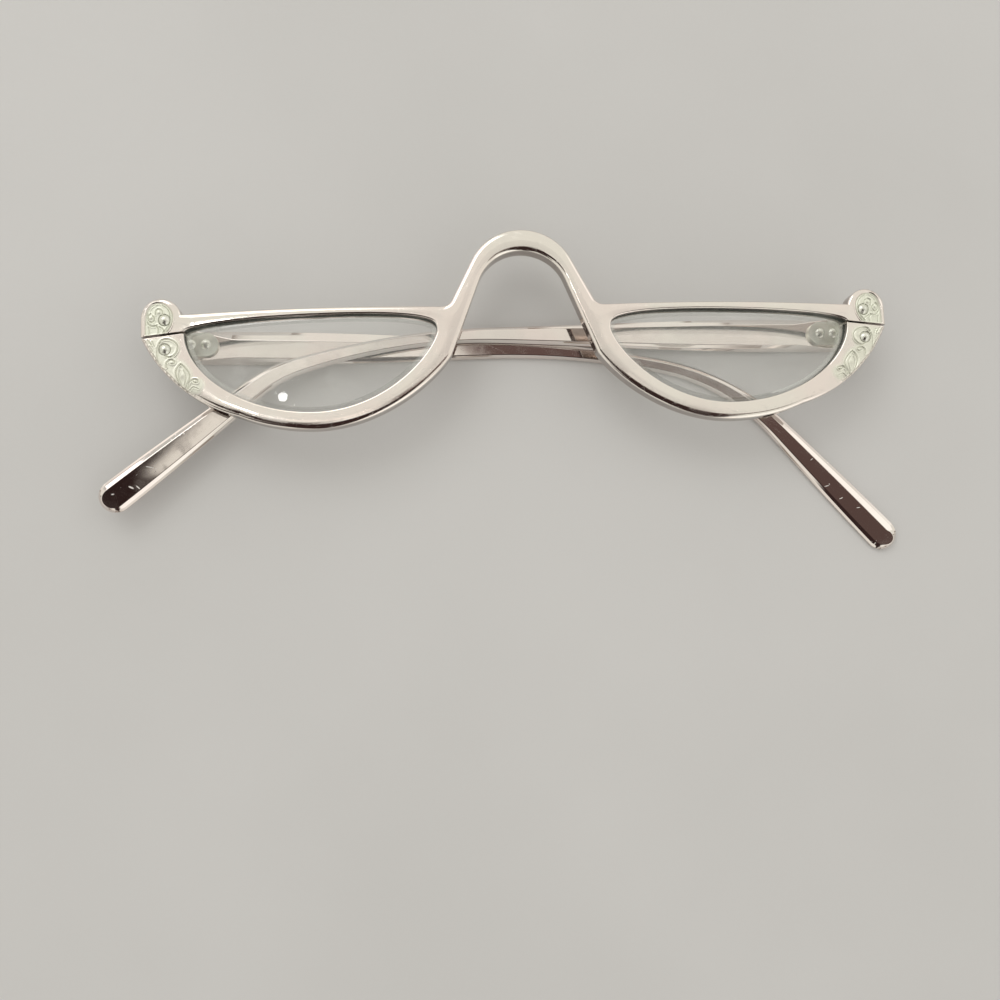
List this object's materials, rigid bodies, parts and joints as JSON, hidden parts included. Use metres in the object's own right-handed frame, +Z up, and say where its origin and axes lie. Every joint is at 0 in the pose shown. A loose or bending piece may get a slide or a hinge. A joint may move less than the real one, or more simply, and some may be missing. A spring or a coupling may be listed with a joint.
{
  "type": "half-moon reading glasses",
  "caption": "Folded half-moon reading glasses: metal front with D-shaped lenses and an arched bridge, riveted hinges, and two bevelled temples that fold across its back.",
  "frame": {"origin": "on the outer face of the left temple, which lies flat on the table, in the middle of the front's width", "axes": "+X along the front towards its right end as seen from the front, +Y up the face towards the top of the bridge, +Z up from the table, out of the front's face"},
  "size_m": [0.144, 0.0589, 0.0104],
  "materials": {
    "front_metal": "polished cast metal, slightly warm, with fine scratches and engraved scrolls at the end pieces",
    "temple_metal": "polished metal with long bevels, scuffed at the tips",
    "hinge_metal": "dull nickel silver with a faint green cast",
    "rivet_metal": "small domed heads, dark round their edges",
    "screw_steel": "plain steel with a slotted head",
    "lens_glass": "clear and polished, with light smudges"
  },
  "bodies": {
    "front": {"front_frame": "front_metal", "left_lens": "lens_glass", "right_lens": "lens_glass", "left_upper_front_rivet": "rivet_metal", "left_lower_front_rivet": "rivet_metal", "right_upper_front_rivet": "rivet_metal", "right_lower_front_rivet": "rivet_metal", "left_front_hinge_leaf": "hinge_metal", "right_front_hinge_leaf": "hinge_metal", "left_hinge_screw": "screw_steel", "right_hinge_screw": "screw_steel"},
    "left_arm": {"left_temple": "temple_metal", "left_temple_hinge_leaf": "hinge_metal", "left_temple_rivet_near": "rivet_metal", "left_temple_rivet_far": "rivet_metal"},
    "right_arm": {"right_temple": "temple_metal", "right_temple_hinge_leaf": "hinge_metal", "right_temple_rivet_near": "rivet_metal", "right_temple_rivet_far": "rivet_metal"}
  },
  "joints": [
    {"name": "left_temple_fold", "type": "hinge", "parent": "front", "child": "left_arm", "pos_m": [-0.0616, 0.0015, 0.0044], "axis": [0, 1, 0], "range_deg": [0, 90]},
    {"name": "right_temple_fold", "type": "hinge", "parent": "front", "child": "right_arm", "pos_m": [0.0616, 0.0015, 0.0044], "axis": [0, -1, 0], "range_deg": [0, 91.68]}
  ]
}
